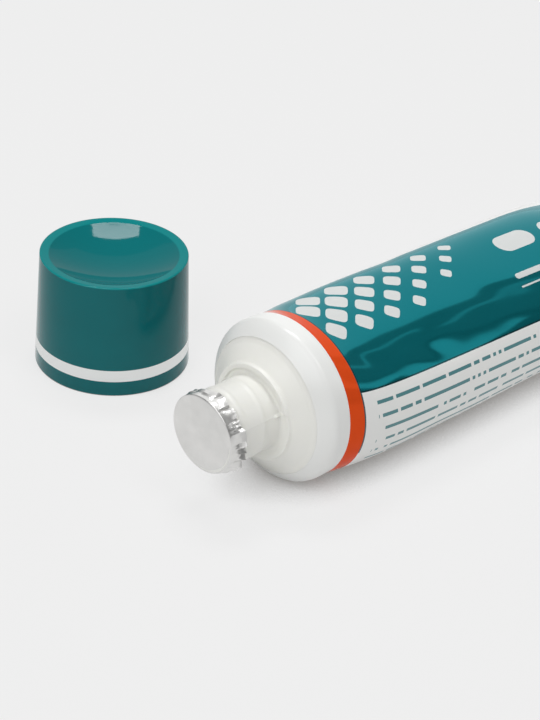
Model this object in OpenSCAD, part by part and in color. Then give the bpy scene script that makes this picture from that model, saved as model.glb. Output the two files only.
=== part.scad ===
// Cream tube that lies on its side, still sealed with foil, with its cap taken off
// and stood on its mouth beside it. All sizes are in millimetres.
// X runs along the tube from the neck to the crimped tail, and everything rests on Z = 0.
// The origin is on that surface, at the middle of the box round the tube and its cap.

/* [Sleeve] */
// Diameter of the round front end of the laminate sleeve
tube_d = 25; // [22:0.5:35]
// Length of the sleeve from the start of its straight wall to the end of the crimp
sleeve_l = 106; // [80:1:150]
// Length of the flat crimp that closes the tail
crimp_l = 5; // [3:0.5:9]
// Thickness of the crimp
crimp_t = 0.9; // [0.6:0.1:2]
// Length of the wedge between the full part of the sleeve and the crimp
wedge_l = 36; // [24:1:50]
// Length that the shoulder holds round behind the bent front edge
round_l = 2; // [1:0.5:6]
// Height that the filled sleeve loses by sagging as it lies
sag = 2.6; // [0.5:0.1:5]
// Lean of the sagged section in degrees, which fades out towards the crimp
lean = 14; // [0:1:25]
// Height of the crimp above the surface that the sleeve lies on
tail_lift = 6; // [0:0.5:10]

/* [Front edge and shoulder] */
// Length of the rounded bend at the front edge of the sleeve
bend_l = 1.8; // [1:0.1:3]
// Width that the rounded bend takes from the radius
bend_w = 1; // [0.5:0.1:2]
// Width of the laminate that is turned down over the shoulder, inside the bend
lip_w = 1; // [0.4:0.1:1.6]
// Slope of the shoulder, in degrees from straight across
slope = 38; // [15:1:45]
// Thickness of the turned-down laminate, which stands proud of the shoulder
laminate_t = 0.3; // [0.2:0.05:0.5]
// Thickness of the moulded shoulder
shoulder_t = 1.2; // [0.8:0.1:2]

/* [Neck] */
// Diameter of the neck
neck_d = 11.5; // [8:0.1:13]
// Length of the neck from the foot of its collar to its end
neck_l = 10; // [8:0.1:14]
// Diameter of the collar ring at the foot of the neck
collar_d = 15; // [14:0.1:18]
// Width of the collar ring's top
collar_w = 0.7; // [0.4:0.1:1.2]
// Height of the collar ring above the shoulder
collar_h = 0.6; // [0.3:0.1:1.2]
// Draft of the collar ring's outer side, in degrees
collar_draft = 15; // [0:1:30]
// Diameter of the passage through the neck
passage_d = 6; // [3:0.1:6.5]

/* [Foil seal] */
// Thickness of the foil
foil_t = 0.2; // [0.1:0.05:0.4]
// Length of the crinkled skirt that is pressed down round the neck
skirt_l = 2.8; // [1.5:0.1:4]
// Height of the crinkles at the skirt's free edge
crinkle = 0.5; // [0.1:0.05:0.8]
// Number of crinkles round the skirt
crinkles = 15; // [9:1:24]

/* [Cap] */
// Diameter of the cap at its foot
cap_d = 24.4; // [23:0.1:36]
// Diameter of the cap at its top
cap_top_d = 23; // [21:0.1:34]
// Height of the cap
cap_h = 18.6; // [18:0.1:26]
// Thickness of the cap's outer wall
cap_wall = 1.2; // [0.9:0.1:1.8]
// Width of the flat rim round the dished top
rim_w = 1.4; // [0.8:0.1:2.5]
// Radius of the rounding at the rim's two edges
rim_r = 0.35; // [0.2:0.05:0.5]
// Depth of the dish in the top
dish_h = 2.6; // [1:0.1:3.5]
// Thickness of the cap's top under the dish
top_t = 1.4; // [1:0.1:2]
// Wall of the socket that screws over the neck
socket_wall = 1.1; // [0.8:0.1:1.6]
// Play all round between the neck and the socket, which holds the thread and the foil
socket_play = 0.75; // [0.6:0.05:1]
// Height of the socket's mouth above the cap's foot
socket_lift = 2.8; // [2:0.1:3.5]

/* [Where the cap stands] */
// Distance of the cap's axis behind the start of the sleeve's straight wall
cap_back = 2.6; // [-10:0.1:40]
// Free gap between the sleeve and the cap
cap_gap = 14.8; // [6:0.1:40]

/* [Hidden] */

// Gap between pieces that fit against each other
fit_gap = 0.05;
// Facets round turned shapes, and round the sleeve and the foil
$fn = 96;
sides = 72;

tube_r = tube_d / 2;
bend_r = tube_r - bend_w;
lip_r = bend_r - lip_w;
collar_r = collar_d / 2;
neck_r = neck_d / 2;
bend_x = -bend_l;
lip_x = bend_x - lip_w * tan(slope);
shoulder_x = lip_x + laminate_t;
collar_x = shoulder_x - (lip_r - collar_r) * tan(slope);
neck_end_x = collar_x - neck_l;
foil_x = neck_end_x - foil_t;
shoulder_back = shoulder_t / cos(slope);

// Half-height and half-width of a flattened section whose girth stays that of the round sleeve:
// a power mean of the two half-axes, exact both for the circle and for the flat crimp.
girth_power = ln(2) / ln(PI / 2);
function half_width(h) = pow(2 * pow(tube_r, girth_power) - pow(h, girth_power), 1 / girth_power);

// The sleeve sags within a few millimetres of the shoulder, and wedges down to the crimp at its tail.
// The powers set how sharply the wedge begins, and how square a section is at the crimp.
sag_run = 6;
wedge_power = 8;
round_power = 2;
strip_power = 8;
strip_onset = 24;
crimp_x = sleeve_l - crimp_l;
function sagged(x) = x <= round_l ? tube_r : tube_r - sag / 2 * (1 - exp(-(x - round_l) / sag_run));
function wedge(x) = x >= crimp_x ? 0
    : pow(1 + pow((crimp_x - x) / wedge_l, -wedge_power), -1 / wedge_power);
function half_height(x) = max(crimp_t / 2, sagged(x) * wedge(x));
function lean_at(x) = x <= round_l ? 0 : lean * (1 - exp(-(x - round_l) / sag_run)) * (1 - pow(x / sleeve_l, 2));
// Sections are ellipses, and become flat strips with square edges in the crimp.
function squareness(x) =
    2 / (round_power + (strip_power - round_power) * pow(min(1, x / crimp_x), strip_onset));

function sharpened(v, power) = sign(v) * pow(abs(v), power);
function leant(p, angle) = [p[0] * cos(angle) - p[1] * sin(angle), p[0] * sin(angle) + p[1] * cos(angle)];
function outline(half_w, half_h, power, angle) =
    [for (i = [0 : sides - 1]) let (t = 360 * i / sides)
        leant([half_w * sharpened(cos(t), power), half_h * sharpened(sin(t), power)], angle)];
function lowest(points) = min([for (p = points) p[1]]);
// One ring of the sleeve's wall. The full part lies on the surface, and the wedge lifts off it.
function sleeve_ring(x) =
    let (h = half_height(x),
         points = outline(half_width(h), h, squareness(x), lean_at(x)),
         rise = tail_lift * (1 - wedge(x)) - lowest(points))
        [for (p = points) [x, p[0], p[1] + rise]];
// A round ring on the tube's axis, used where the shoulder holds the sleeve.
function round_ring(x, r) = [for (p = outline(r, r, 1, 0)) [x, p[0], p[1] + tube_r]];

body_step = 4;
bend_steps = 6;
body_rings = floor((crimp_x - round_l) / body_step);
function sleeve_stations() = concat(
    [0, round_l / 2, round_l],
    [for (i = [1 : body_rings]) round_l + (crimp_x - round_l) * i / (body_rings + 1)],
    [crimp_x, sleeve_l]);
// From the tail forwards: the wall, the rounded bend, the turned-down lip, and the hollow that the shoulder fills.
function sleeve_rings() = concat(
    [for (i = [len(sleeve_stations()) - 1 : -1 : 0]) sleeve_ring(sleeve_stations()[i])],
    [for (i = [1 : bend_steps]) let (t = 90 * i / bend_steps)
        round_ring(-bend_l * sin(t), bend_r + bend_w * cos(t))],
    [round_ring(lip_x, lip_r),
     round_ring(shoulder_x + shoulder_back + fit_gap, lip_r),
     round_ring(collar_x + shoulder_back + fit_gap, collar_r)]);

// A closed skin over a list of rings that all have the same number of points.
module skin(rings) {
    n = len(rings[0]);
    points = [for (ring = rings) each ring];
    walls = [for (i = [0 : len(rings) - 2], j = [0 : n - 1]) let (k = (j + 1) % n)
        each [[i * n + j, (i + 1) * n + k, (i + 1) * n + j], [i * n + j, i * n + k, (i + 1) * n + k]]];
    first = [for (j = [n - 1 : -1 : 0]) j];
    last = [for (j = [0 : n - 1]) (len(rings) - 1) * n + j];
    polyhedron(points = points, faces = concat(walls, [first, last]), convexity = 6);
}

// Turns a profile of [distance along the tube, radius] points round the tube's axis.
module turned(profile) {
    translate([0, 0, tube_r])
        rotate([0, 90, 0])
            rotate_extrude()
                polygon([for (p = profile) [p[1], p[0]]]);
}

// Sealed laminate sleeve with the cream inside it, as one solid.
module filled_sleeve() {
    color("#1b717c")
        skin(sleeve_rings());
}

// White moulding: the sloping shoulder, the collar ring and the neck, with the passage for the cream.
module shoulder_neck() {
    plate_r = lip_r - fit_gap;
    edge_x = shoulder_x - fit_gap * tan(slope);
    ring_in_r = collar_r - collar_w;
    color("#e6e7e2")
        turned([
            [edge_x, plate_r],
            [collar_x, collar_r],
            [collar_x - collar_h, collar_r - collar_h * tan(collar_draft)],
            [collar_x - collar_h, ring_in_r],
            [collar_x, ring_in_r],
            [collar_x, neck_r],
            [neck_end_x, neck_r],
            [neck_end_x, passage_d / 2],
            [collar_x + shoulder_back, passage_d / 2],
            [collar_x + shoulder_back, collar_r],
            [edge_x + shoulder_back, plate_r]]);
}

// Foil pressed over the end of the neck: a flat face and a skirt that is gathered into crinkles.
skirt_steps = 5;
function skirt_ring(depth, r, gather) =
    [for (i = [0 : sides - 1]) let (t = 360 * i / sides, wave = (1 + sin(crinkles * t)) / 2)
        [neck_end_x + depth, (r + gather * wave) * cos(t), (r + gather * wave) * sin(t) + tube_r]];
function skirt_wall(r, from) =
    [for (i = [from : skirt_steps]) let (share = i / skirt_steps)
        skirt_ring(skirt_l * share, r, crinkle * share)];
module foil_seal() {
    inner_r = neck_r + fit_gap;
    outer_r = inner_r + foil_t;
    inner = skirt_wall(inner_r, 0);
    color("#cfd0cd")
        skin(concat(
            [for (i = [0 : skirt_steps]) inner[i]],
            [for (i = [skirt_steps : -1 : 0]) skirt_wall(outer_r, 0)[i]],
            [round_ring(foil_x, outer_r - foil_t / 2)]));
}

// Cap with a dished top. It stands on its foot, and the socket inside it opens downwards.
module cap() {
    foot_r = cap_d / 2;
    top_r = cap_top_d / 2;
    dish_r = top_r - rim_w;
    socket_r = neck_r + socket_play;
    socket_out_r = socket_r + socket_wall;
    steps = 12;
    // Height of the dish at a radius, as a shallow bowl that meets the rim
    function dish_z(r) = cap_h - rim_r / 2 - (dish_h - rim_r / 2) * (1 - pow(r / dish_r, 2));
    roof_z = dish_z(0) - top_t;
    pocket_z = dish_z(socket_out_r) - top_t;
    rim_arc = [for (i = [0 : 6]) let (t = 90 * i / 6)
        [top_r - rim_r + rim_r * cos(t), cap_h - rim_r + rim_r * sin(t)]];
    dish = [for (i = [0 : steps]) let (r = dish_r * (1 - i / steps)) [r, dish_z(r)]];
    color("#1c6466")
        translate([cap_back, tube_r + cap_gap + foot_r, 0])
            difference() {
                rotate_extrude()
                    polygon(concat([[0, 0], [foot_r, 0]], rim_arc, dish));
                // Space between the outer wall and the socket
                difference() {
                    translate([0, 0, -fit_gap])
                        cylinder(h = pocket_z + fit_gap, r = top_r - cap_wall);
                    translate([0, 0, socket_lift])
                        cylinder(h = cap_h, r = socket_out_r);
                }
                // The socket's bore
                translate([0, 0, -fit_gap])
                    cylinder(h = roof_z + fit_gap, r = socket_r);
            }
}

// Middle of the box round all the pieces, which becomes the origin
box_x = (foil_x + sleeve_l) / 2;
box_y = (tube_r + cap_gap + cap_d - half_width(crimp_t / 2)) / 2;
module placed() {
    translate([-box_x, -box_y, 0])
        children();
}

placed() filled_sleeve();
placed() shoulder_neck();
placed() foil_seal();
placed() cap();
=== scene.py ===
# %% [markdown]
# # A cream tube with its cap taken off
# A laminate cream tube lies on its side, still sealed with foil, and its screw cap stands beside
# it on its mouth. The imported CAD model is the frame: it says where each piece is and how big.
# This notebook adds what the solids leave out, which is the finer shape and the finish.
# Lengths are worked out in millimetres and turned to metres in one place, where a mesh is made.

# %% The frame
import math

import bpy
import numpy as np
from mathutils import Matrix, Vector


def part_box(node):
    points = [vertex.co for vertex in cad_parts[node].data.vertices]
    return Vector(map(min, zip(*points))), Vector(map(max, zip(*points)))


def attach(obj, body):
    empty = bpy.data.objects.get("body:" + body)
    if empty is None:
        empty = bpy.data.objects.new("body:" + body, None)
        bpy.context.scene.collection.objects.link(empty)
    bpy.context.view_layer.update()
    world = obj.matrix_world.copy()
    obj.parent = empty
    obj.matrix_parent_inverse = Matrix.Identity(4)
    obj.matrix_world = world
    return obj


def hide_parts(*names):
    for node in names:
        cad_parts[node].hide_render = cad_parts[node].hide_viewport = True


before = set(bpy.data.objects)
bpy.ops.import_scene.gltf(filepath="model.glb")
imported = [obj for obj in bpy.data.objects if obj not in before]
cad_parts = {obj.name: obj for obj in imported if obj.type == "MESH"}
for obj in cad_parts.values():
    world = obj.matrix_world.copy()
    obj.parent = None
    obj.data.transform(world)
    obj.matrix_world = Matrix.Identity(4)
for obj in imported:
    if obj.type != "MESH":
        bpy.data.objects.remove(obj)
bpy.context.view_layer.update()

print("nodes in the frame:", sorted(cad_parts))

# %% [markdown]
# ## Sizes
# The sizes below repeat the part's own. Places are measured from the frame's boxes, so the
# pieces stay with the solids. "Along" is the distance behind the start of the sleeve's straight
# wall, and "arc" is the distance round the sleeve from the top of its section towards -Y.

# %% Sizes in millimetres
TUBE_R = 12.5
SLEEVE_L = 106.0
CRIMP_L = 5.0
CRIMP_T = 0.9
CRIMP_X = SLEEVE_L - CRIMP_L
GIRTH = 2 * math.pi * TUBE_R
# The sleeve's cut front edge, the lip, lies on a cone of 38 degrees
LIP_R = TUBE_R - 2.0
SLOPE = math.tan(math.radians(38))
LIP_X = -1.8 - SLOPE
FACE_X = LIP_X + 0.3
COLLAR_R, NECK_R, NECK_L, PASSAGE_R = 7.5, 5.75, 10.0, 3.0
COLLAR_X = FACE_X - (LIP_R - COLLAR_R) * SLOPE
NECK_END = COLLAR_X - NECK_L
CAP_R, CAP_TOP_R, CAP_H = 12.2, 11.5, 18.6
print("girth", round(GIRTH, 2), "mm; neck's end at", round(NECK_END, 2), "mm along")

# %% Places in the frame
MM = 1000.0


def corners(name):
    """Lowest and highest corner of a CAD node, in millimetres."""
    return [np.array(corner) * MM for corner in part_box(name)]


sleeve_high = corners("filled_sleeve")[1]
neck_low, neck_high = corners("shoulder_neck")
cap_low, cap_high = corners("cap")
WALL = np.array([sleeve_high[0] - SLEEVE_L, (neck_low[1] + neck_high[1]) / 2, 0.0])
CAP_AXIS = np.array([(cap_low[0] + cap_high[0]) / 2, (cap_low[1] + cap_high[1]) / 2, 0.0])
print("straight wall starts at x", round(WALL[0], 3), "axis at y", round(WALL[1], 3))
print("cap stands at", CAP_AXIS.round(3))

# %% [markdown]
# ## From a grid of points to a mesh
# Every piece here is a stack of rings. A surface of two parameters can be made with modifiers,
# curves or a grid of points; the grid is chosen because the formulas then say exactly where each
# point lies. The skin joins neighbouring rings with four-sided faces. A fan closes each end ring,
# or the last ring joins the first, so that no seam or pole is left open.

# %% Skin over rings
# The name of the sheet's own UV map
CHART = "OFBake"


def skin(name, rings, ends="fans", chart=None, sharp=40.0):
    """Face between rings i and i + 1 and columns j and j + 1; the last column joins the first.
    ends is "fans" to close each end ring on its middle, or "loop" to join the last ring to the
    first. chart holds a (u, v) pair for each ring and column, with one column more than the ring.
    Edges that turn by more than sharp degrees are drawn crisp."""
    rings = np.asarray(rings, dtype=float)
    count, wide = rings.shape[:2]
    i = np.arange(count if ends == "loop" else count - 1)[:, None]
    j = np.arange(wide)[None, :]
    below, beside = (i + 1) % count, (j + 1) % wide
    quads = np.stack([i * wide + j, i * wide + beside, below * wide + beside, below * wide + j], -1)
    faces = quads.reshape(-1, 4).tolist()
    points = rings.reshape(-1, 3)
    if ends == "fans":
        points = np.concatenate([points, rings[[0, -1]].mean(axis=1)])
        first, last = np.arange(wide), (count - 1) * wide + np.arange(wide)
        hub = np.full(wide, count * wide)
        faces += np.stack([hub, np.roll(first, -1), first], -1).tolist()
        faces += np.stack([hub + 1, last, np.roll(last, -1)], -1).tolist()
    mesh = bpy.data.meshes.new(name)
    mesh.from_pydata((points / MM).tolist(), [], faces)
    mesh.polygons.foreach_set("use_smooth", np.ones(len(faces), dtype=bool))
    if chart is not None:
        chart = np.asarray(chart, dtype=float)
        cells = np.stack([chart[:-1, :-1], chart[:-1, 1:], chart[1:, 1:], chart[1:, :-1]], 2)
        halves = [np.stack([(a[:-1] + a[1:]) / 2, *pair], 1) for a, pair in (
            (chart[0], (chart[0, 1:], chart[0, :-1])),
            (chart[-1], (chart[-1, :-1], chart[-1, 1:])))]
        flat = np.concatenate([cells.reshape(-1, 2), *[h.reshape(-1, 2) for h in halves]])
        mesh.uv_layers.new(name=CHART)
        mesh.uv_layers[CHART].uv.foreach_set("vector", flat.astype(np.float32).ravel())
    if enclosed(mesh) < 0:
        mesh.flip_normals()
    mesh.set_sharp_from_angle(angle=math.radians(sharp))
    mesh.validate()
    piece = bpy.data.objects.new(name, mesh)
    bpy.context.scene.collection.objects.link(piece)
    print(name, "has", len(faces), "faces and holds", round(enclosed(mesh) * MM**3), "cubic mm")
    return piece


def enclosed(mesh):
    """Volume inside a closed mesh: a third of the sum of face centre dot face normal times area."""
    count = len(mesh.polygons)
    centre, normal, area = np.empty(count * 3), np.empty(count * 3), np.empty(count)
    mesh.polygons.foreach_get("center", centre)
    mesh.polygons.foreach_get("normal", normal)
    mesh.polygons.foreach_get("area", area)
    return float(((centre * normal).reshape(-1, 3).sum(1) * area).sum() / 3)


def round_ring(along, radius, turn, away=0.0):
    """Points at angles turn from the top towards -Y, on a circle round the tube's axis."""
    x = along + 0 * turn
    y = -(radius + away) * np.sin(turn)
    z = (radius + away) * np.cos(turn) + TUBE_R
    return np.stack([x, y, z], -1) + WALL


# %% [markdown]
# ## Materials: small tools
# Colours are written as sRGB hex values, as a colour picker shows them, and turned to the linear
# values that the shader works with. Another function sets or links a node's inputs, one adds a
# node, and two start a node tree: empty, or with the shader that most real surfaces need.

# %% Colour and node tools
def linear(code):
    """sRGB to linear: c / 12.92 below 0.04045, otherwise ((c + 0.055) / 1.055) to the power 2.4."""
    srgb = [int(code[k:k + 2], 16) / 255 for k in (1, 3, 5)]
    return [c / 12.92 if c <= 0.04045 else ((c + 0.055) / 1.055) ** 2.4 for c in srgb] + [1.0]


def plug(tree, node, inputs):
    """Each input of the node is set to a plain value, or linked to a node or a socket."""
    for key, value in inputs.items():
        if isinstance(value, bpy.types.Node):
            value = value.outputs[0]
        if isinstance(value, bpy.types.NodeSocket):
            tree.links.new(value, node.inputs[key])
        else:
            node.inputs[key].default_value = value


def add(tree, kind, inputs=None, **settings):
    """Adds a shader node with its settings and its inputs."""
    made = tree.nodes.new("ShaderNode" + kind)
    for key, value in settings.items():
        setattr(made, key, value)
    plug(tree, made, inputs or {})
    return made


def empty_tree(owner):
    """The node tree of a material or of the world, with nothing in it."""
    owner.use_nodes = True
    owner.node_tree.nodes.clear()
    return owner.node_tree


def start(name):
    """A new material with its Principled shader and its output, and nothing else."""
    material = bpy.data.materials.new(name)
    tree = empty_tree(material)
    shader = add(tree, "BsdfPrincipled")
    add(tree, "OutputMaterial", {"Surface": shader})
    return material, tree, shader


# %% [markdown]
# ## The sleeve's shape
# The real sleeve is a rolled sheet of foil laminate. Cream fills it, so it sags flat-sided where
# it lies, but a sheet doesn't stretch: every section keeps the girth of the round tube. It could
# be sculpted, or a cylinder could be squashed; a formula for the section is chosen, because it
# keeps the girth exactly and so lets the print lie on the sheet without stretching.

# %% Height and width along the sleeve
GIRTH_POWER = math.log(2) / math.log(math.pi / 2)
ROUND_L, SAG, SAG_RUN = 2.0, 2.6, 6.0
WEDGE_L, TAIL_LIFT, LEAN = 36.0, 6.0, 14.0
print("girth power", round(GIRTH_POWER, 4))


def half_width(height):
    """Half-width that keeps the girth: height^p + width^p = 2 radius^p, p = ln 2 / ln(pi / 2)."""
    return (2 * TUBE_R**GIRTH_POWER - height**GIRTH_POWER) ** (1 / GIRTH_POWER)


def wedge(along):
    """Share of the full height: (1 + (distance to the crimp / 36)^-8)^(-1/8), 0 in the crimp."""
    left = np.maximum(CRIMP_X - along, 1e-6)
    return (1 + (left / WEDGE_L) ** -8.0) ** (-1 / 8)


def settled(along):
    """0 where the shoulder holds the sleeve round, rising to 1 within a few sag lengths."""
    return 1 - np.exp(-np.maximum(along - ROUND_L, 0) / SAG_RUN)


# %% One ring of the sheet
COLUMNS = 288
ARC = np.linspace(-GIRTH / 2, GIRTH / 2, COLUMNS + 1)


def lean_at(along):
    """Lean of the section in radians: 14 degrees times the settling, fading to 0 at the tail."""
    return math.radians(LEAN) * float(settled(along)) * (1 - (along / SLEEVE_L) ** 2)


def sheet_ring(along):
    """Ellipse with half-axes width and height, squared towards a strip in the crimp, cut into
    equal lengths of arc. It leans towards -Y and rests on the surface or on the tail's rise.
    The sheet doesn't turn with the lean, so arc is counted from lean times radius behind."""
    high = max(CRIMP_T / 2, (TUBE_R - SAG / 2 * float(settled(along))) * float(wedge(along)))
    wide = half_width(high)
    square = 2 / (2 + 6 * min(1.0, along / CRIMP_X) ** 24)
    turn = np.linspace(-math.pi, math.pi, 4001)
    y = -wide * np.sign(np.sin(turn)) * np.abs(np.sin(turn)) ** square
    z = high * np.sign(np.cos(turn)) * np.abs(np.cos(turn)) ** square
    path = np.concatenate([[0], np.cumsum(np.hypot(np.diff(y), np.diff(z)))])
    path = (path / path[-1] - 0.5) * GIRTH
    lean = lean_at(along)
    spot = ARC[:-1] - TUBE_R * lean
    y, z = np.interp(spot, path, y, period=GIRTH), np.interp(spot, path, z, period=GIRTH)
    y, z = y * math.cos(lean) - z * math.sin(lean), y * math.sin(lean) + z * math.cos(lean)
    rise = TAIL_LIFT * (1 - float(wedge(along))) - z.min()
    return np.stack([np.full(COLUMNS, along), y, z + rise], -1)


print("columns round the sheet:", COLUMNS)

# %% [markdown]
# A filled sleeve is never quite smooth. Fingers leave shallow dents, and the sheet stays a little
# wavy between them. They hardly show in the outline, but they bend the long reflections on the
# metallised print, so they are real geometry here. Each dent is a soft bell of a few millimetres,
# and every one of them dies away at the shoulder, at the crimp and where the sleeve lies.

# %% Dents and waves in the sheet
# Along, arc, half-length along, half-length round, depth (inwards is positive), turn in degrees.
# The last row is the broad swell of the cream over the front.
DENTS = np.array([
    [21, -1.0, 5.0, 4.5, 0.20, 20], [33, 3.0, 8.0, 4.0, 0.12, -14], [14, 3.0, 6.0, 3.5, -0.08, 18],
    [47, 4.0, 7.0, 4.0, 0.14, 12], [58, 2.0, 9.0, 5.0, 0.12, -8], [30, -9.0, 3.0, 3.0, 0.10, 0],
    [9, 10.0, 5.0, 1.3, 0.09, 24], [13, 12.6, 4.0, 1.2, -0.08, -18],
    [17, 9.6, 5.0, 1.2, 0.08, -10], [21, 12.2, 4.0, 1.5, 0.13, 22],
    [26, 10.2, 5.0, 1.3, -0.07, 12], [29, 13.0, 5.0, 1.4, 0.10, -14],
    [34, 10.6, 6.0, 1.5, 0.10, -6], [40, 12.6, 5.0, 1.5, -0.09, 10], [45, 9.8, 6.0, 1.4, 0.08, 14],
    [50, 13.0, 7.0, 1.8, 0.11, -8], [59, 11.0, 7.0, 2.0, 0.10, 8], [37, 8.0, 4.0, 1.6, 0.06, 20],
    [70, -2.0, 9.0, 6.0, 0.30, 25], [66, 20.0, 8.0, 6.0, 0.26, -20], [40, 24.0, 8.0, 4.0, 0.12, 8],
    [36, -22.0, 9.0, 6.0, 0.25, 15], [58, -24.0, 8.0, 5.0, -0.12, 0], [22, 26.0, 6.0, 5.0, 0.15, 0],
    [14, -9.5, 22.0, 7.0, -0.50, 0],
])


def dent_depth(along, arc):
    """Sum of bells depth * exp(-(p/length)^2 - (q/width)^2), p and q turned to each dent's own
    direction, plus two slow waves, times a fade that is 0 at both ends and underneath."""
    total = 0.016 * np.sin(along / 3.1 + arc / 5.3) + 0.012 * np.sin(along / 2.3 - arc / 3.1 + 1.0)
    for x, a, long, wide, deep, turn in DENTS:
        c, s = math.cos(math.radians(turn)), math.sin(math.radians(turn))
        p, q = (along - x) * c + (arc - a) * s, (arc - a) * c - (along - x) * s
        total = total + deep * np.exp(-(p / long) ** 2 - (q / wide) ** 2)
    ends = np.clip((along - 2) / 7, 0, 1) * np.clip((CRIMP_X - along) / 10, 0, 1)
    under = np.clip((31 - np.abs(arc)) / 6, 0, 1)
    return total * smooth(ends) * smooth(under)


def smooth(share):
    """3 s^2 - 2 s^3, which starts and stops level."""
    return share * share * (3 - 2 * share)


print("dents and swells:", len(DENTS))

# %% The sheet from the shoulder to the crimp
body_x = np.concatenate([
    np.arange(0, 8, 0.5), np.arange(8, 94, 1.0), np.arange(94, CRIMP_X, 0.5), [CRIMP_X]])
body = np.stack([sheet_ring(x) for x in body_x])
across = np.roll(body, -1, 1) - np.roll(body, 1, 1)
inward = np.stack([0 * across[..., 1], -across[..., 2], across[..., 1]], -1)
inward /= -np.linalg.norm(inward, axis=-1, keepdims=True)
middle = body.mean(1, keepdims=True)
inward *= np.where(((middle - body) * inward).sum(-1, keepdims=True) < 0, -1, 1)
body = body + inward * dent_depth(body_x[:, None], ARC[None, :-1])[..., None]
deepest = float(dent_depth(body_x[:, None], ARC).max())
print("body rings", body.shape, "deepest dent", round(deepest, 2), "mm")

# %% [markdown]
# The tail is pressed flat between heated jaws, which leave a row of fine ribs across the seal.
# The ribs run along the tube, 1.2 mm apart, a usual pitch for such jaws.

# %% The ribbed crimp
RIB_PITCH, RIB_H = 1.2, 0.10
crimp_x = np.array([0.25, 0.6, 1.0, 2.0, 3.0, 4.0, 4.4, 4.75, 5.0]) + CRIMP_X
crimp = np.stack([sheet_ring(x) for x in crimp_x])
level = crimp[..., 2].mean(1, keepdims=True)
pressed = np.clip((crimp_x - CRIMP_X) / 0.6, 0, 1) * np.clip((SLEEVE_L - crimp_x) / 0.6, 0, 1)
flank = np.clip((half_width(CRIMP_T / 2) - 0.8 - np.abs(crimp[..., 1])) / 0.6, 0, 1)
ribs = RIB_H / 2 * (1 + np.cos(2 * math.pi * crimp[..., 1] / RIB_PITCH))
crimp[..., 2] -= np.sign(crimp[..., 2] - level) * ribs * pressed[:, None] * flank
print("crimp ribs", int(2 * half_width(CRIMP_T / 2) / RIB_PITCH))

# %% [markdown]
# At the front the sheet turns over the edge of the shoulder in a tight round bend and ends in a
# thin cut edge on the cone. That bend is the glossy white rim, and its curve catches the light.
# A quarter circle would leave a valley where it meets the cone; a curve that leaves the wall
# level and arrives at the cone's own slope is smooth all the way.

# %% The bend over the shoulder, and the whole sleeve
TURN = ARC[:-1] / TUBE_R
# A rational curve of three points: the wall, the corner where wall and cone would meet, the lip.
# PULL is the corner's weight: 1 would be a parabola, and more draws the curve towards the corner.
PULL = 1.3
bend = np.linspace(0, 1, 19)[1:]
drop = TUBE_R - LIP_R
corner_x = LIP_X + drop * SLOPE
weight = (1 - bend) ** 2 + 2 * PULL * bend * (1 - bend) + bend**2
bend_x = (2 * PULL * bend * (1 - bend) * corner_x + bend**2 * LIP_X) / weight
bend_r = TUBE_R - bend**2 * drop / weight
front = list(zip(bend_x, bend_r))
# The cut edge, and a hem that runs on under it into the shoulder
front += [(LIP_X + 0.02, LIP_R - 0.03), (LIP_X + 0.08, LIP_R - 0.04),
          (FACE_X + 0.4, LIP_R), (FACE_X + 1.6, LIP_R), (COLLAR_X + 1.6, COLLAR_R)]
front_rings = np.stack([round_ring(x, r, TURN) for x, r in front[::-1]])
sleeve_rings = np.concatenate([front_rings, np.concatenate([body, crimp]) + WALL])
walk = np.array(front[::-1] + [(x, TUBE_R) for x in np.concatenate([body_x, crimp_x])])
walked = np.concatenate([[0], np.cumsum(np.hypot(*np.diff(walk, axis=0).T))])
LEAD, SHEET_L = walked[len(front)], walked[-1]
chart = np.stack(np.broadcast_arrays(walked[:, None] / SHEET_L, ARC[None, :] / GIRTH + 0.5), -1)
sleeve = skin("printed_sleeve", sleeve_rings, chart=chart)
print("sheet length", round(SHEET_L, 2), "mm, of which in front of the wall", round(LEAD, 2))

# %% [markdown]
# ## Rounded profiles
# Mould edges are never knife-sharp, and the small round on each edge is what catches a line of
# light. A bevel modifier could round a turned shape; here the profile itself is rounded before it
# is turned, corner by corner, so that every radius is known.

# %% A profile with rounded corners
def rounded(corners, steps=6):
    """Each inner corner (x, y, radius) becomes an arc that touches both of its sides: it starts
    radius / tan(half the corner's angle) away from the corner, or as far as the sides allow."""
    spots = np.array([corner[:2] for corner in corners], dtype=float)
    points = [spots[:1]]
    for before, here, after, corner in zip(spots, spots[1:], spots[2:], corners[1:]):
        a, b = before - here, after - here
        long_a, long_b = np.linalg.norm(a), np.linalg.norm(b)
        a, b = a / long_a, b / long_b
        half = math.acos(np.clip(a @ b, -1, 1)) / 2
        away = min(corner[2] / math.tan(half), 0.49 * long_a, 0.49 * long_b)
        radius = away * math.tan(half)
        centre = here + (a + b) / np.linalg.norm(a + b) * radius / math.sin(half)
        p, q = here + a * away - centre, here + b * away - centre
        whole = math.pi - 2 * half
        t = np.linspace(0, 1, steps)[:, None]
        swept = p * np.sin((1 - t) * whole) + q * np.sin(t * whole)
        points.append(centre + swept / math.sin(whole))
    points.append(spots[-1:])
    return np.concatenate(points)


# %% [markdown]
# ## Shoulder and neck
# This is one moulding of white polyethylene. Its shape is nearly a turned profile, so each ring
# is a circle; what isn't round is added as a function of the angle: the thread climbs the neck,
# the groove behind the collar is open above the mould's parting line and filled below it, and the
# parting line itself leaves a fine raised flash.

# %% Two profiles of the moulding, above and below the parting line
PARTING = math.radians(68)
NECK_ROOT = NECK_R - 0.12
RING_IN_R, GROOVE_R, GROOVE_MOUTH_R = 6.60, 6.44, 6.9
moulding_turn = np.linspace(-math.pi, math.pi, 361)[:-1]


def cone(radius):
    """Distance along of the shoulder's cone at a radius."""
    return FACE_X - (LIP_R - radius) * SLOPE


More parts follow.
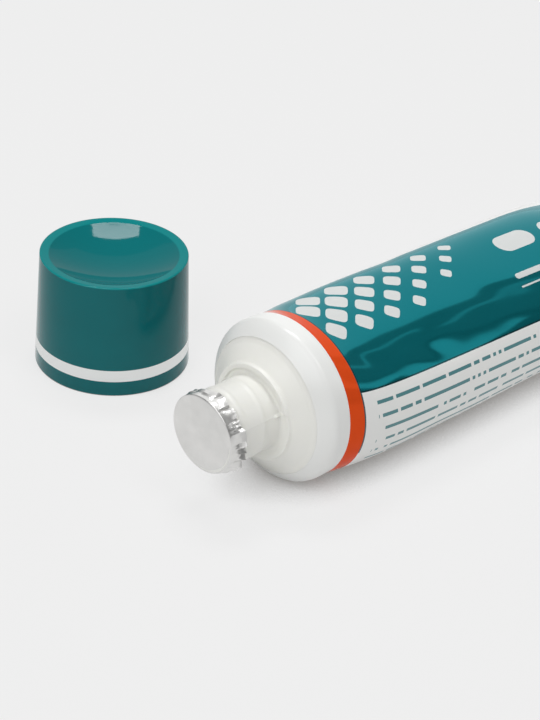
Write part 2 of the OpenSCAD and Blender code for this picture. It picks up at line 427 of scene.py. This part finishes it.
def front_profile(top, groove):
    """From behind the lip over the cone and the collar, whose ring is top high and whose groove
    goes back to groove, to the foot of the neck."""
    return rounded([
        (FACE_X + 1.5, LIP_R - 0.004, 0), (LIP_X + 0.10, LIP_R - 0.004, 0.02),
        (cone(9.7) - 0.02, 9.7, 2.0), (COLLAR_X, COLLAR_R, 0.5),
        (COLLAR_X - top, COLLAR_R - top * 0.27, 0.16), (COLLAR_X - top, RING_IN_R, 0.14),
        (COLLAR_X - groove, GROOVE_R, 0.20), (COLLAR_X - groove, NECK_ROOT, 0.40),
        (NECK_END + NECK_L - 1.3, NECK_ROOT, 0)])


open_half, filled_half = front_profile(0.58, 0.20), front_profile(0.42, 0.38)
below_parting = ((moulding_turn > PARTING) | (moulding_turn < PARTING - math.pi)) * 1.0
print("profile points", len(open_half))

# %% Thread and flash
THREAD_PITCH, THREAD_H = 3.4, 0.10


def thread_height(out, turn):
    """Fine ridge at 3.4 mm pitch: height * (cosine of the turn from the helix)^16. It starts a
    little behind the neck's end and runs out before the collar."""
    phase = (out / THREAD_PITCH + turn / (2 * math.pi) + 0.35) % 1.0 - 0.5
    ridge = np.cos(math.pi * phase) ** 16
    fade = np.clip((out - 1.2) / 1.4, 0, 1)
    run_out = np.clip((NECK_L - 1.4 - out) / 1.6, 0, 1)
    return THREAD_H * ridge * smooth(fade) * smooth(run_out)


def flash(turn, high=0.05, half=0.014):
    """A bell, high millimetres high, on both parting lines."""
    gap = np.minimum(np.abs(turn - PARTING), np.abs(turn - PARTING + math.pi))
    return high * np.exp(-(gap / half) ** 2)


def tab(radius):
    """The flash is a thick tab, up to 0.5 mm high, where it bridges the groove."""
    return flash(moulding_turn, 0.5, 0.035) * (radius < GROOVE_MOUTH_R)


print("thread pitch", THREAD_PITCH, "mm, height", THREAD_H, "mm")

# %% The moulding itself
def two_halves(above, below):
    """A ring that takes the first profile's point above the parting line, the second's below."""
    along = above[0] + (below[0] - above[0]) * below_parting
    radius = above[1] + (below[1] - above[1]) * below_parting
    return round_ring(along, radius, moulding_turn, tab(below[1]))


rings = [two_halves(above, below) for above, below in zip(open_half, filled_half)]
rings += [round_ring(NECK_END + out, NECK_ROOT, moulding_turn,
                     thread_height(out, moulding_turn) + flash(moulding_turn) * min(1, 0.2 * out))
          for out in np.linspace(NECK_L - 1.4, 0.3, 76)]
rings += [round_ring(x, r, moulding_turn) for x, r in rounded([
    (NECK_END + 0.25, NECK_ROOT, 0), (NECK_END, NECK_ROOT, 0.12), (NECK_END, PASSAGE_R, 0.2),
    (COLLAR_X + 1.5, PASSAGE_R, 0.01), (COLLAR_X + 1.5, COLLAR_R, 0)])]
moulding = skin("shoulder_moulding", rings, ends="loop", sharp=50)

# %% [markdown]
# ## Foil seal
# A disc of aluminium foil is sealed on the neck's end and its edge is pressed down round the
# thread, where the spare foil gathers into sharp pleats. Cloth simulation makes soft folds, but
# foil keeps creases: a folded line of straight facets between listed pleat angles is nearer.

# %% Pleats round the skirt
# Angle in degrees from the top towards -Y, and how far each fold stands out, in millimetres
PLEATS = np.array([
    [-180, 0.45], [-170, 0.70], [-160, 0.25], [-145, 0.55], [-136, 0.12], [-120, 0.50],
    [-108, 0.05], [-92, 0.35], [-82, 0.05], [-66, 0.30], [-56, 0.05], [-40, 0.24], [-31, 0.05],
    [-16, 0.20], [-8, 0.04], [4, 0.22], [9, 0.00], [15, 0.28], [27, 0.18], [30, 0.00],
    [34, 0.26], [46, 0.20],
    [49, 0.00], [52, 0.30], [55, 0.00], [58, 0.32], [62, 0.02], [66, 0.42], [70, 0.08], [82, 0.04],
    [87, 0.52], [91, 0.14], [96, 0.62], [101, 0.10], [106, 0.80], [112, 0.25], [119, 0.95],
    [125, 0.35], [137, 0.75], [144, 0.30], [155, 0.80], [163, 0.35], [172, 0.65], [180, 0.45],
])
# Four columns of points between neighbouring corners, so that each fold line is sharp
STEPS = 4
FOLDS = (len(PLEATS) - 1) * STEPS
corner_at = np.arange(len(PLEATS))
column_at = np.arange(FOLDS) / STEPS
foil_turn = np.radians(np.interp(column_at, corner_at, PLEATS[:, 0]))
stand = np.interp(column_at, corner_at, PLEATS[:, 1])
# The skirt's edge is ragged, shorter where a fold stands out and over the top
ragged = 0.22 * np.sin(5 * foil_turn + 1.0) + 0.14 * np.sin(11 * foil_turn) - 0.3 * (stand - 0.4)
ragged -= 0.45 * np.exp(-(foil_turn / 0.9) ** 2)
print("pleats:", len(PLEATS) // 2)

# %% Creases
# Each corner of the pleats moves by a seeded random amount at five depths, and the foil between
# the corners stays nearly flat, with a much finer unevenness on top
SKIRT_ROWS, DEPTHS = 9, 5
draw = np.random.default_rng(11)
corner_moves = draw.uniform(-1, 1, (DEPTHS, len(PLEATS), 2))
corner_moves[:, -1] = corner_moves[:, 0]
fine_moves = draw.uniform(-0.18, 0.18, (SKIRT_ROWS, FOLDS, 2))
row_at = np.linspace(0, DEPTHS - 1, SKIRT_ROWS)
corner = np.minimum(column_at.astype(int), len(PLEATS) - 2)
mix = (column_at - corner)[None, :, None]
by_turn = corner_moves[:, corner] * (1 - mix) + corner_moves[:, corner + 1] * mix
depth = np.minimum(row_at.astype(int), DEPTHS - 2)
mix = (row_at - depth)[:, None, None]
creases = by_turn[depth] * (1 - mix) + by_turn[depth + 1] * mix + fine_moves
print("crease grid", creases.shape)

# %% The foil as a thin shell
FOIL_T, SKIRT_L, FOIL_SHIFT = 0.08, 2.45, 0.08
FACE_R, SKIRT_R, CREASE_R = 5.78, 5.94, 5.28


def foil_ring(along, radius, lift=0.0):
    """Ring of foil points round an axis 0.08 mm up and across from the neck's. The face is
    slightly askew: its upper far side stands 0.1 mm forward."""
    tilt = 0.10 * np.cos(foil_turn - 2.4) * lift
    y, z = -radius * np.sin(foil_turn), radius * np.cos(foil_turn) + TUBE_R
    return np.stack([along + tilt + 0 * foil_turn, y + FOIL_SHIFT, z + FOIL_SHIFT], -1) + WALL


def skirt_ring(row, thick):
    """The folds open with the depth, and the creases grow with it."""
    depth = row / (SKIRT_ROWS - 1)
    move = creases[row] * np.array([0.12, 0.11]) * min(1.0, 2.5 * depth)
    along = NECK_END + 0.06 + depth * (SKIRT_L + ragged * depth) + move[:, 0]
    return foil_ring(along, SKIRT_R + stand * depth**1.2 + move[:, 1] - thick, 1 - depth)


# The face is flat inside an uneven crease half a millimetre from its edge
crease_r = CREASE_R + 0.07 * np.sin(3 * foil_turn + 0.5) + 0.05 * np.sin(7 * foil_turn)
face = [foil_ring(NECK_END - 0.10, r, 1.0) for r in np.linspace(0.5, 4.9, 10)]
face += [foil_ring(NECK_END - 0.10, crease_r, 1.0)]
edge = [foil_ring(NECK_END - 0.04, FACE_R, 1.0), foil_ring(NECK_END + 0.01, 5.90, 1.0)]
outer = [skirt_ring(row, 0) for row in range(SKIRT_ROWS)]
inner = [skirt_ring(row, FOIL_T) for row in reversed(range(1, SKIRT_ROWS))]
inside = [foil_ring(NECK_END - 0.01, r, 1.0) for r in (5.70, 3.0, 0.5)]
foil = skin("foil_cap", [*face, *edge, *outer, *inner, *inside], sharp=9)

# %% [markdown]
# ## Screw cap
# The cap is injection moulded polypropylene: a slightly tapered wall, a rounded rim and a dished
# top, hollow underneath with a threaded socket. A turned profile makes all of it.

# %% Profile of the cap
DISH_R, DISH_H, RIM_R = CAP_TOP_R - 1.4, 2.6, 0.35
SOCKET_R, SOCKET_OUT_R, SOCKET_LIFT = 6.5, 7.6, 2.8


def dish(radius):
    """Height of the dish: a shallow bowl, top - 0.175 - 2.425 (1 - (r / rim radius)^2)."""
    return CAP_H - RIM_R / 2 - (DISH_H - RIM_R / 2) * (1 - (radius / DISH_R) ** 2)


roof = dish(0) - 1.4
bowl = [(r, dish(r)) for r in np.linspace(0.5, DISH_R - 0.5, 24)]
shell = rounded([
    (DISH_R - 0.45, dish(DISH_R - 0.45), 0), (DISH_R, dish(DISH_R), 0.25),
    (CAP_TOP_R - RIM_R, CAP_H, 0.8), (CAP_TOP_R, CAP_H, RIM_R), (CAP_R, 0.0, 0.25),
    (11.0, 0.0, 0.2), (10.35, 8.0, 2.0), (10.25, roof - 0.3, 0.5), (SOCKET_OUT_R, roof - 0.3, 0.5),
    (SOCKET_OUT_R, SOCKET_LIFT, 0.25), (SOCKET_R, SOCKET_LIFT, 0.25),
    (SOCKET_R, SOCKET_LIFT + 0.3, 0)])
profile = np.concatenate([bowl, shell])
print("cap profile has", len(profile), "points, roof at", round(roof, 2))

# %% The cap itself
cap_turn = np.linspace(-math.pi, math.pi, 193)[:-1]


def cap_ring(radius, height, away=0.0):
    """Circle round the cap's axis, moved outwards by away."""
    x, y = (radius + away) * np.cos(cap_turn), (radius + away) * np.sin(cap_turn)
    return np.stack([x, y, height + 0 * cap_turn], -1) + CAP_AXIS


def socket_thread(height):
    """The matching ridge inside the socket, 0.35 mm high and 1 mm wide, at the neck's pitch."""
    phase = (height / THREAD_PITCH - cap_turn / (2 * math.pi)) % 1.0 - 0.5
    fade = np.clip((height - 3.6) / 1.0, 0, 1) * np.clip((roof - 2.2 - height) / 1.0, 0, 1)
    return -0.35 * np.exp(-(phase * THREAD_PITCH / 0.5) ** 4) * smooth(fade)


socket_z = np.linspace(SOCKET_LIFT + 0.3, roof - 0.4, 44)
cap_rings = [cap_ring(r, z) for r, z in profile]
cap_rings += [cap_ring(SOCKET_R, z, socket_thread(z)) for z in socket_z]
cap_rings += [cap_ring(SOCKET_R - 0.4, roof), cap_ring(0.5, roof)]
cap = skin("screw_cap", cap_rings, sharp=40)

# %% [markdown]
# ## Printed laminate
# The sheet is aluminium foil between clear plastic films. Translucent ink over bare foil gives
# the metallic teal and orange, and opaque white ink gives the plain parts. A clear lacquer covers
# everything. The print follows the sheet, so its nodes read the sheet's own chart, turned back
# to millimetres: x is along the tube and y is the arc.

# %% Ink colours
TEAL_FOIL = "#05767f"
ORANGE_FOIL = "#dd4d1d"
WHITE_INK = "#e9eae8"
SILVER_INK = "#cccfce"
TEAL_INK = "#417f84"
SEAM_INK = "#1b4d52"
# What the metal turns to at its edges, red, green and blue
TEAL_EDGE, ORANGE_EDGE = (0.60, 0.85, 0.88, 1), (1.0, 0.35, 0.20, 1)
print("teal", [round(c, 3) for c in linear(TEAL_FOIL)[:3]])

# %% The chart in millimetres
laminate, tree, shader = start("printed_foil_laminate")
on_sheet = add(tree, "UVMap", uv_map=CHART)
place = add(tree, "Mapping", {
    "Vector": on_sheet, "Scale": (SHEET_L, GIRTH, 1), "Location": (-LEAD, -GIRTH / 2, 0)})
split = add(tree, "SeparateXYZ", {0: place})
along = split.outputs["X"]
print("chart of the sheet:", round(SHEET_L, 2), "by", round(GIRTH, 2), "mm")

# %% A print slightly askew
# The sheet was rolled so that the print climbs 0.03 mm for each mm along
arc = add(tree, "Math", {0: along, 1: -0.03, 2: split.outputs["Y"]}, operation="MULTIPLY_ADD")
place = add(tree, "CombineXYZ", {"X": along, "Y": arc})


def product(*parts):
    """The product of several masks, which is 1 only where all of them are 1."""
    made = parts[0]
    for part in parts[1:]:
        made = add(tree, "Math", {0: made, 1: part}, operation="MULTIPLY")
    return made


def between(value, low, high):
    """1 between two limits, else 0, as a product of two steps."""
    return product(add(tree, "Math", {0: value, 1: low}, operation="GREATER_THAN"),
                   add(tree, "Math", {0: value, 1: high}, operation="LESS_THAN"))


BAND, PANEL = (2.0, 4.7), (-9.3, 13.75)
band = between(along, *BAND)
behind_band = between(along, BAND[1], SLEEVE_L + 1)
panel = product(between(arc, *PANEL), behind_band)
# A hairline of dark ink hides the gap where two inks meet
seam = add(tree, "Math", {
    0: product(between(along, 4.6, 4.85), between(arc, -20, 24)),
    1: product(between(arc, 13.55, 13.8), behind_band)}, operation="MAXIMUM")
print("orange band", BAND, "mm along; teal panel", round(PANEL[1] - PANEL[0], 1), "mm wide")

# %% [markdown]
# The panel's ornament is a plain one: rounded lozenges in a staggered grid that shrink away from
# the band, in silver-white ink. A Voronoi texture without randomness is such a grid, and the
# place of each cell's own point gives every lozenge one size, so that none is cut.

# %% Lozenges that shrink away from the band
# Limits of the field along, in arc, and of the reach by which the lozenges shrink
PITCH, LOZENGE_FIELD = 4.1, ((7.2, 44.0), (-6.0, 5.2), (-20.0, 35.0))
on_grid = {"Scale": (1 / PITCH, 1 / PITCH, 1), "Rotation": (0, 0, math.radians(45)),
           "Location": (0.35, 0.15, 0)}
grid = add(tree, "Mapping", {"Vector": place, **on_grid})
cells = add(tree, "TexVoronoi", {"Vector": grid, "Scale": 1.0, "Randomness": 0.0, "Exponent": 4.0},
            voronoi_dimensions="2D", feature="F1", distance="MINKOWSKI")
cell_at = add(tree, "Mapping", {"Vector": cells.outputs["Position"], **on_grid},
              vector_type="TEXTURE")
cell_at = add(tree, "SeparateXYZ", {0: cell_at})
reach = add(tree, "Math", {0: cell_at.outputs["Y"], 1: 1.6, 2: cell_at.outputs["X"]},
            operation="MULTIPLY_ADD")
cell_size = add(tree, "MapRange", {
    "Value": reach, "From Min": 6.0, "From Max": 36.0, "To Min": 0.43, "To Max": 0.20})
lozenge = product(
    add(tree, "Math", {0: cells.outputs["Distance"], 1: cell_size}, operation="LESS_THAN"),
    between(cell_at.outputs["X"], *LOZENGE_FIELD[0]),
    between(cell_at.outputs["Y"], *LOZENGE_FIELD[1]), between(reach, *LOZENGE_FIELD[2]))
print("lozenge grid pitch", PITCH, "mm, field", *LOZENGE_FIELD)

# %% [markdown]
# Further along, the panel carries plain bars with round ends, and the white part has rows of
# short dashes. They keep the scale of a real pack's print and say nothing.

# %% Bars on the panel
# Start and end along, start and end of arc, all in millimetres
BARS = [(46, 54, -2.6, 1.4), (56.5, 60.5, -2.6, 1.4), (63, 80, -2.6, 1.4), (43.6, 50, 5.5, 6.5),
        (51.4, 55, 5.5, 6.5), (56.4, 67, 5.5, 6.5), (43.4, 80, 7.75, 8.05)]
bars = None
for x0, x1, y0, y1 in BARS:
    half = (y1 - y0) / 2
    off = add(tree, "VectorMath", {0: place, 1: ((x0 + x1) / 2, (y0 + y1) / 2, 0)},
              operation="SUBTRACT")
    off = add(tree, "VectorMath", {0: off}, operation="ABSOLUTE")
    off = add(tree, "VectorMath", {0: off, 1: ((x1 - x0) / 2 - half, 0, 0)}, operation="SUBTRACT")
    off = add(tree, "VectorMath", {0: off, 1: (0, 0, 0)}, operation="MAXIMUM")
    gap = add(tree, "VectorMath", {0: off}, operation="LENGTH").outputs["Value"]
    bar = add(tree, "Math", {0: gap, 1: half}, operation="LESS_THAN")
    bars = bar if bars is None else add(tree, "Math", {0: bars, 1: bar}, operation="MAXIMUM")
print("bars:", len(BARS))

# %% Dashes on the white part
FIRST_ROW, ROW, DASH, ROWS = 14.9, 2.15, 0.62, 6
row = add(tree, "Math", {0: arc, 1: -FIRST_ROW}, operation="ADD")
row = add(tree, "Math", {0: row, 1: 1 / ROW}, operation="MULTIPLY")
row_number = add(tree, "Math", {0: row}, operation="FLOOR")
in_row = between(add(tree, "Math", {0: row}, operation="FRACT"), 0.24, 0.50)
dash = add(tree, "Math", {0: along, 1: 1 / DASH}, operation="MULTIPLY")
dash = add(tree, "Math", {0: dash}, operation="FLOOR")
spot = add(tree, "CombineXYZ", {"X": dash, "Y": row_number})
chance = add(tree, "TexWhiteNoise", {"Vector": spot}, noise_dimensions="2D")
inked = add(tree, "Math", {0: chance.outputs["Value"], 1: 0.2}, operation="GREATER_THAN")
dashes = product(inked, in_row, between(arc, FIRST_ROW, FIRST_ROW + ROWS * ROW),
                 between(along, 7.3, 88.0))
print("dash rows", ROWS, "with row spacing", ROW, "mm")

# %% Ink over foil
# The teal foil is metal for three quarters, as the ink scatters the rest, and the thicker orange
# ink leaves little of the metal's shine. The lacquer shows on the white alone.
silver = add(tree, "Math", {0: bars, 1: lozenge}, operation="MAXIMUM")
silver = product(silver, panel)
colour = linear(WHITE_INK)
for mask, code in ((dashes, TEAL_INK), (panel, TEAL_FOIL), (silver, SILVER_INK),
                   (band, ORANGE_FOIL), (seam, SEAM_INK)):
    layer = add(tree, "Mix", {"Factor": mask, 6: colour, 7: linear(code)}, data_type="RGBA")
    colour = layer.outputs[2]
foil_shows = add(tree, "Math", {0: panel, 1: silver}, operation="SUBTRACT")
metal = add(tree, "Math", {0: foil_shows, 1: 0.75}, operation="MULTIPLY")
metal = add(tree, "Math", {0: band, 1: 0.15, 2: metal}, operation="MULTIPLY_ADD")
shiny = add(tree, "Math", {0: foil_shows, 1: band}, operation="MAXIMUM")
rough = add(tree, "MapRange", {"Value": shiny, "To Min": 0.36, "To Max": 0.10})
coat = add(tree, "MapRange", {"Value": shiny, "To Min": 0.20, "To Max": 0.0})
plain = add(tree, "MapRange", {"Value": band, "To Min": 0.5, "To Max": 0.05})
tint = add(tree, "Mix", {"Factor": shiny, 6: (1, 1, 1, 1), 7: TEAL_EDGE}, data_type="RGBA")
tint = add(tree, "Mix", {"Factor": band, 6: tint.outputs[2], 7: ORANGE_EDGE}, data_type="RGBA")
plug(tree, shader, {
    "Base Color": colour, "Metallic": metal, "Roughness": rough, "Coat Weight": coat,
    "Coat Roughness": 0.12, "Specular IOR Level": plain, "Specular Tint": tint.outputs[2]})
sleeve.data.materials.append(laminate)
print("laminate nodes:", len(tree.nodes))

# %% [markdown]
# ## White polyethylene
# High-density polyethylene is milky: light goes a little way in and comes out again, so its
# shadows are soft, and its moulded skin is satin with a very fine grain.

# %% Moulded polyethylene
polyethylene, tree, shader = start("moulded_polyethylene")
where = add(tree, "TexCoord").outputs["Object"]
cloud = add(tree, "TexNoise", {"Vector": where, "Scale": 220.0, "Detail": 3.0})
tone = add(tree, "Mix", {
    "Factor": cloud.outputs["Fac"], 6: linear("#f0f0eb"), 7: linear("#ebebe5")},
    data_type="RGBA")
grain = add(tree, "TexNoise", {"Vector": where, "Scale": 2500.0, "Detail": 2.0})
relief = add(tree, "Bump", {"Height": grain.outputs["Fac"], "Strength": 0.12, "Distance": 0.00005})
plug(tree, shader, {
    "Base Color": tone.outputs[2], "Normal": relief, "Roughness": 0.42, "IOR": 1.54,
    "Subsurface Weight": 0.25, "Subsurface Radius": (1.0, 1.0, 0.9), "Subsurface Scale": 0.001})
moulding.data.materials.append(polyethylene)
print("polyethylene nodes:", len(tree.nodes))

# %% [markdown]
# ## Aluminium foil
# Foil keeps the clouds of its rolling and small creases from handling. Its face is satin, and
# the creases catch bright and dark reflections.

# %% Rolled aluminium foil
aluminium, tree, shader = start("rolled_aluminium_foil")
where = add(tree, "TexCoord").outputs["Object"]
cloud = add(tree, "TexNoise", {"Vector": where, "Scale": 420.0, "Detail": 4.0})
crinkle = add(tree, "TexVoronoi", {"Vector": where, "Scale": 500.0}, feature="SMOOTH_F1")
fine = add(tree, "Bump", {"Height": cloud.outputs["Fac"], "Strength": 0.10, "Distance": 0.00005})
relief = add(tree, "Bump", {
    "Height": crinkle.outputs["Distance"], "Strength": 0.25, "Distance": 0.0001, "Normal": fine})
tone = add(tree, "Mix", {
    "Factor": cloud.outputs["Fac"], 6: linear("#ecebe9"), 7: linear("#d3d3d1")},
    data_type="RGBA")
plug(tree, shader, {
    "Base Color": tone.outputs[2], "Normal": relief, "Metallic": 1.0, "Roughness": 0.33})
foil.data.materials.append(aluminium)
print("aluminium nodes:", len(tree.nodes))

# %% [markdown]
# ## Teal polypropylene
# The cap's gloss comes from the polished mould. A hot-stamped silver-white ring runs round it
# near the foot; Object coordinates place it by height. The dish and the top of the rim are
# painted a little paler than the wall: this is painted light, standing in for the soft light
# that falls on them from above.

# %% Glossy polypropylene with a stamped ring, and painted light on the dish and rim top
polypropylene, tree, shader = start("glossy_teal_polypropylene")
where = add(tree, "TexCoord").outputs["Object"]
split = add(tree, "SeparateXYZ", {0: where})
RING_LOW, RING_HIGH, RING_MIN_R = 2.49, 4.41, 11.5
from_axis = add(tree, "Mapping", {"Vector": where, "Location": tuple(-CAP_AXIS / MM)})
flat = add(tree, "VectorMath", {0: from_axis, 1: (1, 1, 0)}, operation="MULTIPLY")
radius = add(tree, "VectorMath", {0: flat}, operation="LENGTH").outputs["Value"]
outside = add(tree, "Math", {0: radius, 1: RING_MIN_R / MM}, operation="GREATER_THAN")
ring = product(between(split.outputs["Z"], RING_LOW / MM, RING_HIGH / MM), outside)
cloud = add(tree, "TexNoise", {"Vector": where, "Scale": 150.0, "Detail": 2.0})
side = add(tree, "Mix", {
    "Factor": cloud.outputs["Fac"], 6: linear("#036569"), 7: linear("#035f63")},
    data_type="RGBA")
# Painted light: a paler teal within 11.1 mm of the axis (the dish and the hidden inside) and
# another above 18.37 mm (the rim's top), standing in for light from above
inner = add(tree, "MapRange", {"Value": radius, "From Min": 11.1 / MM, "From Max": 11.4 / MM,
                               "To Min": 1.0, "To Max": 0.0}, interpolation_type="SMOOTHSTEP")
top = add(tree, "MapRange", {
    "Value": split.outputs["Z"], "From Min": 18.37 / MM, "From Max": 18.46 / MM},
    interpolation_type="SMOOTHSTEP")
tone = side
# The first two layers are painted light; the last is the real stamped ring
for mask, code in ((inner, "#067074"), (top, "#078587"), (ring, "#e6e8e7")):
    tone = add(tree, "Mix", {"Factor": mask, 6: tone.outputs[2], 7: linear(code)},
               data_type="RGBA")
peel = add(tree, "TexNoise", {"Vector": where, "Scale": 350.0, "Detail": 1.0})
relief = add(tree, "Bump", {"Height": peel.outputs["Fac"], "Strength": 0.03, "Distance": 0.0001})
metal = add(tree, "MapRange", {"Value": ring, "To Min": 0.0, "To Max": 0.85})
rough = add(tree, "MapRange", {"Value": ring, "To Min": 0.06, "To Max": 0.30})
plug(tree, shader, {
    "Base Color": tone.outputs[2], "Metallic": metal, "Roughness": rough, "Normal": relief,
    "IOR": 1.49, "Specular IOR Level": 0.2})
cap.data.materials.append(polypropylene)
print("polypropylene nodes:", len(tree.nodes))

# %% [markdown]
# ## Which body and which solid each piece stands for
# Nothing moves here, so every piece rides on the root body and stands for one solid.

# %% Ties to the frame
for piece, solid, finish in (
        (sleeve, "filled_sleeve", "printed_laminate"),
        (moulding, "shoulder_neck", "white_moulding"),
        (foil, "foil_seal", "foil"), (cap, "cap", "cap_plastic")):
    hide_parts(solid)
    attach(piece, "root")
    print(piece.name, "stands for", solid)

# %% [markdown]
# ## Camera
# The place and turn were worked out from the circles of the cap and the tube. A 100 mm lens on a
# 36 mm sensor has a narrow, calm perspective, as in product photography.

# %% The camera
camera = bpy.data.objects.new("camera", bpy.data.cameras.new("camera"))
bpy.context.scene.collection.objects.link(camera)
bpy.context.scene.camera = camera
camera.data.lens, camera.data.sensor_width = 100, 36
ahead, right = Vector((0.61425, 0.59121, -0.52265)), Vector((0.71825, -0.69319, 0.06001))
up = right.cross(ahead)
CAMERA_AT = (-0.220817, -0.182613, 0.167236)
facing = Matrix((right, up, -ahead)).transposed().to_4x4()
camera.matrix_world = Matrix.Translation(CAMERA_AT) @ facing
print("camera looks along", [round(v, 3) for v in ahead])

# %% [markdown]
# ## Floor
# The floor is plain and pale. For the camera it is mostly its own even colour, darkened only where
# little sky is open above it, which is the close soft shadow of a light tent. For bounced light
# it is an ordinary pale floor.

# %% The floor
FLOOR_Z, PAPER, DEEP_SHADE = -2e-5, "#efefef", "#868380"
EVEN_SHARE = 0.85
floor_mesh = bpy.data.meshes.new("floor")
floor_points = [(x, y, FLOOR_Z) for x, y in ((-2, -2), (2, -2), (2, 2), (-2, 2))]
floor_mesh.from_pydata(floor_points, [], [(0, 1, 2, 3)])
floor = bpy.data.objects.new("floor", floor_mesh)
bpy.context.scene.collection.objects.link(floor)
paper = bpy.data.materials.new("pale_paper")
tree = empty_tree(paper)
rays = add(tree, "LightPath")
seen = add(tree, "Math", {0: rays.outputs["Is Camera Ray"], 1: rays.outputs["Is Glossy Ray"]},
           operation="MAXIMUM")
seen = add(tree, "Math", {0: seen, 1: rays.outputs["Is Transmission Ray"]}, operation="MAXIMUM")
lit = add(tree, "BsdfDiffuse", {"Color": linear(PAPER)})
open_sky = add(tree, "AmbientOcclusion", {"Distance": 0.02}, samples=8).outputs["AO"]
shade = add(tree, "MapRange", {"Value": open_sky, "From Min": 0.08, "From Max": 0.50},
            interpolation_type="SMOOTHSTEP")
pale = add(tree, "Mix", {"Factor": shade, 6: linear(DEEP_SHADE), 7: linear(PAPER)},
           data_type="RGBA")
even = add(tree, "Emission", {"Color": pale.outputs[2], "Strength": 1.0})
shown = add(tree, "MixShader", {0: EVEN_SHARE, 1: lit, 2: even})
both = add(tree, "MixShader", {0: seen, 1: lit, 2: shown})
add(tree, "OutputMaterial", {"Surface": both})
floor_mesh.materials.append(paper)
print("floor just under the pieces, at", FLOOR_Z * MM, "mm")

# %% [markdown]
# ## Light
# Soft boxes light a product evenly. The small one behind and above gives the glare in the cap's
# dish and the line of light on the white rim, and two large weak ones fill in. An area lamp is
# such a box: it shows in glossy surfaces with its real shape, which a point or a sun can't do.

# %% The lamps
def softbox(name, place, target, size, glow, roll=0.0):
    """A rectangular area lamp at place that faces target, in metres, turned about its own axis by
    roll degrees. glow is how bright its face is, where 1 is white: power = pi * area * glow."""
    lamp = bpy.data.objects.new(name, bpy.data.lights.new(name, "AREA"))
    lamp.data.shape = "RECTANGLE"
    lamp.data.size, lamp.data.size_y = size
    lamp.data.energy = math.pi * size[0] * size[1] * glow
    aim = (Vector(target) - Vector(place)).to_track_quat("-Z", "Y").to_matrix().to_4x4()
    spin = Matrix.Rotation(math.radians(roll), 4, "Z")
    lamp.matrix_world = Matrix.Translation(place) @ aim @ spin
    bpy.context.scene.collection.objects.link(lamp)
    return lamp


boxes = [
    softbox("overhead_softbox", (0.133, 0.24, 0.80), (0.133, 0.24, 0), (0.385, 0.19), 11.0, -39),
    softbox("strip_softbox", (0.05, -0.42, 0.80), (0.05, -0.42, 0), (0.24, 0.60), 4.0),
    softbox("left_softbox", (-0.75, -0.15, 0.75), (0, 0, 0), (0.9, 0.9), 2.2)]
print("soft boxes:", len(boxes))

# %% [markdown]
# A metallised print shows what stands round it, so a photographer places cards for it. The large
# pale one gives the panel's light part, the dim one its dark part, and the small and the slim one
# give lines of light. A glossy cap would show the same cards and look washed out. Light linking
# keeps each card to its own piece, as if tube and cap had been lit one after the other.

# %% Cards for the tube and for the cap
cards = [
    softbox("right_card", (0.95, 0.885, 0.75), (0, 0.885, 0.75), (2.03, 1.5), 0.85),
    softbox("front_right_card", (0.156, -0.212, 0.135), (-0.036, -0.026, 0.020), (0.05, 0.10), 0.9),
    softbox("dim_card", (0.98, -0.45, 0.55), (0, -0.45, 0.55), (0.64, 1.1), 0.12),
    softbox("slim_card", (0.90, -0.36, 0.60), (0, -0.36, 0.60), (0.07, 0.7), 0.45)]
tube_only = bpy.data.collections.new("tube_only")
tube_only.objects.link(sleeve)
tube_only.objects.link(foil)
for card in cards:
    card.light_linking.receiver_collection = tube_only
cap_only = bpy.data.collections.new("cap_only")
cap_only.objects.link(cap)
back_card = softbox("back_card", (0.553, 0.814, 0.53), (-0.043, 0.023, 0.53), (1.06, 0.96), 0.18)
back_card.light_linking.receiver_collection = cap_only
print("cards for the tube:", len(cards), "and one for the cap")

# %% [markdown]
# The world is a dim even surround for the light, and as pale as the floor for the camera.

# %% The world
world = bpy.data.worlds.new("studio")
bpy.context.scene.world = world
tree = empty_tree(world)
rays = add(tree, "LightPath")
dim = add(tree, "Background", {"Color": (1, 1, 1, 1), "Strength": 0.20})
backdrop = add(tree, "Background", {"Color": linear(PAPER), "Strength": 1.0})
mixed = add(tree, "MixShader", {0: rays.outputs["Is Camera Ray"], 1: dim, 2: backdrop})
add(tree, "OutputWorld", {"Surface": mixed})
print("world nodes:", len(tree.nodes))

bpy.context.scene.view_settings.view_transform = "Standard"
